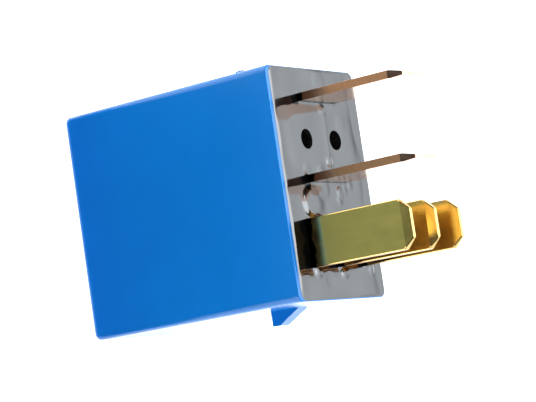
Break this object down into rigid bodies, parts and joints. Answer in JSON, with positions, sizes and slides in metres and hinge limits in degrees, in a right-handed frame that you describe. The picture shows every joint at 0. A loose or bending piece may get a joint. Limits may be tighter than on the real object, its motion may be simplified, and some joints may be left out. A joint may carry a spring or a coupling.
{
  "type": "plug in relay",
  "caption": "Small plug-in changeover relay: a blue box cover on a sealed base with blade terminals, holding a coil, a hinged armature and contacts.",
  "frame": {"origin": "centre of the outer face of the cover's closed end", "axes": "+Z from the closed end to the blade tips, +X along the cover's long side from the common terminal towards the row of three blades, +Y across the short side"},
  "size_m": [0.0258, 0.0154, 0.0371],
  "materials": {
    "cover_blue": "satin moulded",
    "base_black": "moulded grey",
    "compound": "cast glossy epoxy",
    "terminal_copper": "stamped copper alloy",
    "terminal_brass": "stamped brass",
    "plated_iron": "zinc plated",
    "bobbin_plastic": "moulded natural",
    "coil_wire": "enamelled copper",
    "resistor_body": "lacquered",
    "lead_wire": "tinned",
    "contact_silver": "silver alloy",
    "rivet_steel": "cold headed",
    "spring_bronze": "rolled bronze"
  },
  "bodies": {
    "cover": {"cover": "cover_blue"},
    "base_unit": {"base_plate": "base_black", "sealing_compound": "compound", "terminal_30_common": "terminal_copper", "terminal_87_normally_open": "terminal_copper", "terminal_87a_normally_closed": "terminal_brass", "normally_closed_carrier": "terminal_brass", "terminal_85_coil": "terminal_brass", "terminal_86_coil": "terminal_brass", "yoke": "plated_iron", "iron_core": "plated_iron", "bobbin": "bobbin_plastic", "coil_winding": "coil_wire", "coil_ends": "coil_wire", "suppression_resistor": "resistor_body", "resistor_leads": "lead_wire", "normally_open_contact": "contact_silver", "normally_closed_contact": "contact_silver", "terminal_rivets": "rivet_steel", "spring_rivets": "rivet_steel", "hinge_spring": "spring_bronze"},
    "armature": {"armature": "plated_iron", "contact_spring": "spring_bronze", "moving_contact": "contact_silver", "armature_rivets": "rivet_steel"}
  },
  "joints": [
    {"name": "base_out_of_cover", "type": "slide", "parent": "cover", "child": "base_unit", "axis": [0, 0, 1], "range_m": [0, 0.026]},
    {"name": "armature_hinge", "type": "hinge", "parent": "base_unit", "child": "armature", "pos_m": [-0.008, 0, 0.0062], "axis": [0, -1, 0], "range_deg": [0, 2.9], "stiffness_Nm_per_rad": 0.02, "springref_deg": -5.73, "deforming": ["hinge_spring"]}
  ]
}
